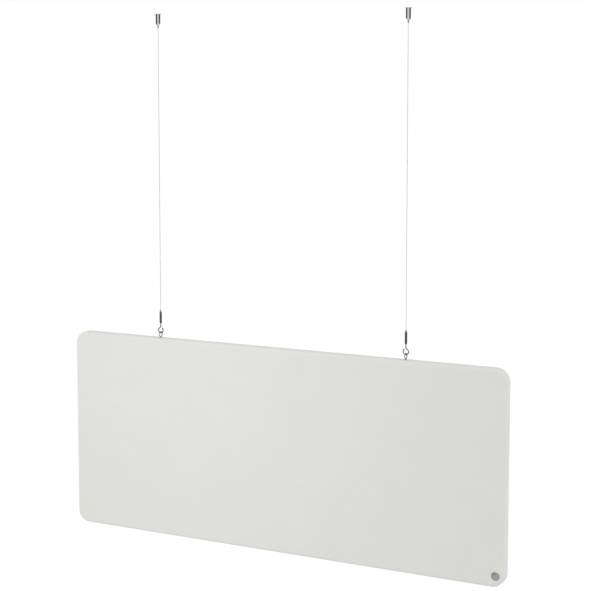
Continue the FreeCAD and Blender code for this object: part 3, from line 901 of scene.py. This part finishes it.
class HANGING_OT_fittings(bpy.types.Operator):
    """Turned and bent metal pieces of the hangers, with their edges eased"""

    bl_idname = "hanging.fittings"
    bl_label = "Fittings"

    def execute(self, context):
        # Name of each piece and the width of its eased edges
        pieces = {
            "ceiling_base": ("flanged_stub", 0.0004),
            "ceiling_barrel": ("turned_barrel", 0.0004),
            "ball_terminal": ("swaged_nipple", 0.0003),
            "gripper_body": ("gripper_tube", 0.0003),
            "gripper_cap": ("gripper_nose", 0.0003),
            "release_plunger": ("plunger_tip", 0.0002),
            "hook": ("bent_hook", 0.0002),
        }
        for side in SIDES:
            for kind, (label, width) in pieces.items():
                node = f"{side}_{kind}"
                piece = eased_copy(node, f"{side}_{label}", width)
                if kind != "hook":
                    round_shading(piece.data, HANGER_X[side])
                refinish(piece, SLOT_OF[node])
                dress(piece, BODY_OF[node], SLOT_OF[node], node)
        return {"FINISHED"}


def wire_form(name, places, diameter):
    """A wire bent along a smooth spline, with its ends closed, as a plain mesh."""
    curve = smooth_curve(name, places, BENT_WIRE_STEPS)
    curve.bevel_depth = diameter / 2
    curve.bevel_resolution = 4
    curve.use_fill_caps = True
    return curve_mesh(curve, name)


class HANGING_OT_eyes(bpy.types.Operator):
    """Screw eyes bent from wire, in the panel's top edge"""

    bl_idname = "hanging.eyes"
    bl_label = "Eyes"

    def execute(self, context):
        wire = settings(context, "metal").eye_wire
        for side, x in HANGER_X.items():
            low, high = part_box(f"{side}_eye")
            radius = (high.y - low.y - wire) / 2
            centre = high.z - wire / 2 - radius
            neck = centre - radius - wire / 2
            heights = (low.z, low.z + SHANK_STEP, neck - NECK_BELOW, neck + NECK_ABOVE)
            places = [(x, 0.0, z) for z in heights]
            for degrees in RING_DEGREES:
                angle = math.radians(degrees)
                places.append((x, radius * math.cos(angle), centre + radius * math.sin(angle)))
            mesh = wire_form(f"{side}_screw_eye", places, wire)
            mesh.materials.append(finish("bright_steel"))
            shade_smooth(mesh)
            dress(new_object(f"{side}_screw_eye", mesh), "panel", "bright_steel", f"{side}_eye")
        return {"FINISHED"}


class HANGING_OT_badge(bpy.types.Operator):
    """Plain domed button with a groove inside its rim"""

    bl_idname = "hanging.badge"
    bl_label = "Badge"

    def execute(self, context):
        low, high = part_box("badge")
        radius = (high.x - low.x) / 2
        middle_x = (low.x + high.x) / 2
        middle_z = (low.z + high.z) / 2
        proud = -HALF_THICK - low.y
        shape = bmesh.new()
        corners = [
            shape.verts.new((middle_x + radius * across, -HALF_THICK - proud * out, middle_z))
            for across, out in BADGE_SECTION
        ]
        edges = [shape.edges.new(pair) for pair in zip(corners, corners[1:])]
        bmesh.ops.spin(shape, geom=corners + edges, cent=(middle_x, 0.0, middle_z),
                       axis=(0.0, 1.0, 0.0), angle=math.tau, steps=BADGE_STEPS)
        bmesh.ops.remove_doubles(shape, verts=shape.verts, dist=MERGE_DISTANCE)
        bmesh.ops.recalc_face_normals(shape, faces=shape.faces)
        mesh = bpy.data.meshes.new("round_badge")
        shape.to_mesh(mesh)
        shape.free()
        shade_smooth(mesh)
        mesh.set_sharp_from_angle(angle=SHARP_ANGLE)
        mesh.materials.append(finish("badge_steel"))
        dress(new_object("round_badge", mesh), "panel", "badge_steel", "badge")
        return {"FINISHED"}


def shown_rays(tree):
    """One for rays that the camera, metal or glass looks along, and nought for light on the object."""
    paths = add_node(tree, "ShaderNodeLightPath").outputs
    first = number(tree, "MAXIMUM", paths["Is Camera Ray"], paths["Is Glossy Ray"])
    return number(tree, "MAXIMUM", first, paths["Is Transmission Ray"])


def white_surround(daylight):
    """A world that looks pure white and lights the object evenly from all round."""
    world = bpy.data.worlds.new("white surround")
    world.use_nodes = True
    tree = world.node_tree
    tree.nodes.clear()
    lit = add_node(tree, "ShaderNodeBackground", {"Color": WHITE, "Strength": daylight})
    seen = add_node(tree, "ShaderNodeBackground", {"Color": WHITE, "Strength": 1.0})
    mixed = add_node(tree, "ShaderNodeMixShader",
                     {0: shown_rays(tree), 1: lit.outputs[0], 2: seen.outputs[0]})
    add_node(tree, "ShaderNodeOutputWorld", {"Surface": mixed.outputs[0]})
    return world


def floor_finish():
    """White floor that still takes a faint shadow."""
    material, tree, shader = blank_material("pale floor")
    shader.inputs["Base Color"].default_value = (0.76, 0.76, 0.76, 1.0)
    shader.inputs["Roughness"].default_value = 0.9
    glow = add_node(tree, "ShaderNodeEmission", {"Color": WHITE, "Strength": 1.05})
    share = number(tree, "MULTIPLY", shown_rays(tree), 0.9)
    mixed = add_node(tree, "ShaderNodeMixShader", {0: share, 1: shader.outputs[0], 2: glow.outputs[0]})
    tree.links.new(mixed.outputs[0], tree.nodes["Material Output"].inputs["Surface"])
    return material


def lay_floor(drop):
    """A wide level floor, low enough for views of the panel from below."""
    sides = (-FLOOR_REACH, FLOOR_REACH)
    mesh = bpy.data.meshes.new("floor")
    mesh.from_pydata([(x, y, -drop) for y in sides for x in sides], [], [(0, 1, 3, 2)])
    mesh.materials.append(floor_finish())
    new_object("floor", mesh)


def soft_lamp(name, power, size, spread, place, target):
    """A round soft lamp turned to a target, which neither the camera nor the metal shows."""
    light = bpy.data.lights.new(name, "AREA")
    light.shape = "DISK"
    light.size = size
    light.energy = power
    light.spread = spread
    lamp = new_object(name, light)
    lamp.location = place
    lamp.rotation_euler = (Vector(target) - Vector(place)).to_track_quat("-Z", "Y").to_euler()
    lamp.visible_camera = False
    lamp.visible_glossy = False


def dark_card(name, near, far):
    """An upright grey card beside the set that only shows in the metal, from one corner to the other."""
    mesh = bpy.data.meshes.new(name)
    corners = [(*near, CARD_LOW), (*far, CARD_LOW), (*far, CARD_HIGH), (*near, CARD_HIGH)]
    mesh.from_pydata(corners, [], [(0, 1, 2, 3)])
    material, _, shader = blank_material(name)
    shader.inputs["Base Color"].default_value = (0.10, 0.10, 0.10, 1.0)
    shader.inputs["Roughness"].default_value = 1.0
    mesh.materials.append(material)
    card = new_object(name, mesh)
    card.visible_camera = False
    card.visible_diffuse = False
    card.visible_shadow = False


def photo_camera(lens):
    """The camera, at the photograph's place and angle."""
    data = bpy.data.cameras.new("camera")
    data.lens = lens
    data.sensor_width = 36.0
    data.shift_y = CAMERA_SHIFT
    camera = new_object("camera", data)
    camera.location = CAMERA_PLACE
    level = math.cos(CAMERA_PITCH)
    gaze = Vector((math.sin(CAMERA_YAW) * level, math.cos(CAMERA_YAW) * level, math.sin(CAMERA_PITCH)))
    camera.rotation_euler = gaze.to_track_quat("-Z", "Y").to_euler()
    return camera


class HANGING_OT_stage(bpy.types.Operator):
    """Pale floor, white surround, soft lamps and the camera"""

    bl_idname = "hanging.stage"
    bl_label = "Stage"

    def execute(self, context):
        stage = settings(context, "stage")
        scene = context.scene
        scene.view_settings.view_transform = "Standard"
        scene.world = white_surround(stage.daylight)
        lay_floor(stage.floor_drop)
        soft_lamp("key", stage.key_power, size=0.8, spread=math.radians(100),
                  place=(-0.9, -2.0, -1.0), target=(-0.05, 0.0, -1.0))
        soft_lamp("fill", stage.fill_power, size=1.2, spread=math.radians(120),
                  place=(2.9, 0.15, -1.2), target=(0.7, 0.0, -1.25))
        dark_card("left card", near=(-0.9, -3.0), far=(-2.6, 1.5))
        dark_card("right card", near=(2.6, -1.0), far=(0.6, 3.0))
        scene.camera = photo_camera(stage.lens)
        return {"FINISHED"}


class HANGING_PT_sidebar(bpy.types.Panel):
    """Lists the settings and the pieces"""

    bl_idname = "HANGING_PT_sidebar"
    bl_label = "Hanging Panel"
    bl_space_type = "VIEW_3D"
    bl_region_type = "UI"
    bl_category = "Hanging Panel"

    def draw(self, context):
        for group in SETTINGS:
            box = self.layout.box()
            values = settings(context, group)
            for key in values.bl_rna.properties.keys():
                if key not in ("rna_type", "name"):
                    box.prop(values, key)
        for piece in PIECES:
            self.layout.operator(piece.bl_idname)


SETTINGS = {
    "cloth": ClothSettings,
    "rope": RopeSettings,
    "metal": MetalSettings,
    "stage": StageSettings,
}
PIECES = (
    HANGING_OT_stage,
    HANGING_OT_finishes,
    HANGING_OT_wires,
    HANGING_OT_covers,
    HANGING_OT_seam,
    HANGING_OT_felt,
    HANGING_OT_fittings,
    HANGING_OT_eyes,
    HANGING_OT_badge,
)


def register():
    """Register the classes and hang the settings on the scene."""
    for cls in (*SETTINGS.values(), *PIECES, HANGING_PT_sidebar):
        bpy.utils.register_class(cls)
    for group, cls in SETTINGS.items():
        setattr(bpy.types.Scene, f"hanging_{group}", PointerProperty(type=cls))


def unregister():
    """Take the settings off the scene and unregister the classes."""
    for group in SETTINGS:
        delattr(bpy.types.Scene, f"hanging_{group}")
    for cls in reversed((*SETTINGS.values(), *PIECES, HANGING_PT_sidebar)):
        bpy.utils.unregister_class(cls)


def main():
    """Make every piece in order."""
    register()
    bpy.ops.hanging.stage()
    bpy.ops.hanging.finishes()
    bpy.ops.hanging.wires()
    bpy.ops.hanging.covers()
    bpy.ops.hanging.seam()
    bpy.ops.hanging.felt()
    bpy.ops.hanging.fittings()
    bpy.ops.hanging.eyes()
    bpy.ops.hanging.badge()


if __name__ == "__main__":
    main()
